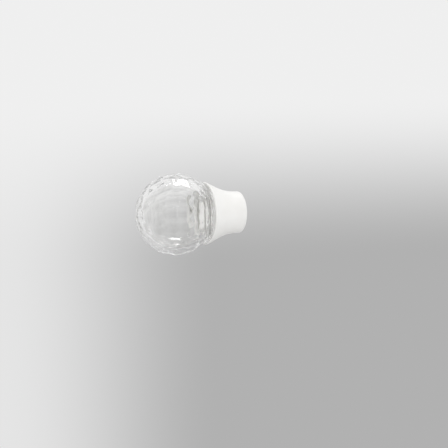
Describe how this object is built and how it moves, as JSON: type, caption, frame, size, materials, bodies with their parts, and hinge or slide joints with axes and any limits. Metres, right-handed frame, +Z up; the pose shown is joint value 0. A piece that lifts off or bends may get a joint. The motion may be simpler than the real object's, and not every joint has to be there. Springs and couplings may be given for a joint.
{
  "type": "curtain pole finial",
  "caption": "Curtain pole finial: a hollow ball of clear faceted glass in a white bell-shaped metal collar, which slips over the end of a round pole and is clamped by a grub screw.",
  "frame": {"origin": "centre of the socket's floor, where the end of the pole stops", "axes": "+X along the pole, out of the socket's mouth; the ball is towards -X; +Z up, with the grub screw underneath"},
  "size_m": [0.08, 0.06, 0.06],
  "materials": {
    "clear_glass": "fire-polished clear soda-lime glass",
    "white_coat": "satin white coat on a zinc casting",
    "screw_steel": "bright zinc-plated steel"
  },
  "bodies": {
    "root": {"faceted_ball": "clear_glass", "collar": "white_coat", "grub_screw": "screw_steel"}
  },
  "joints": []
}
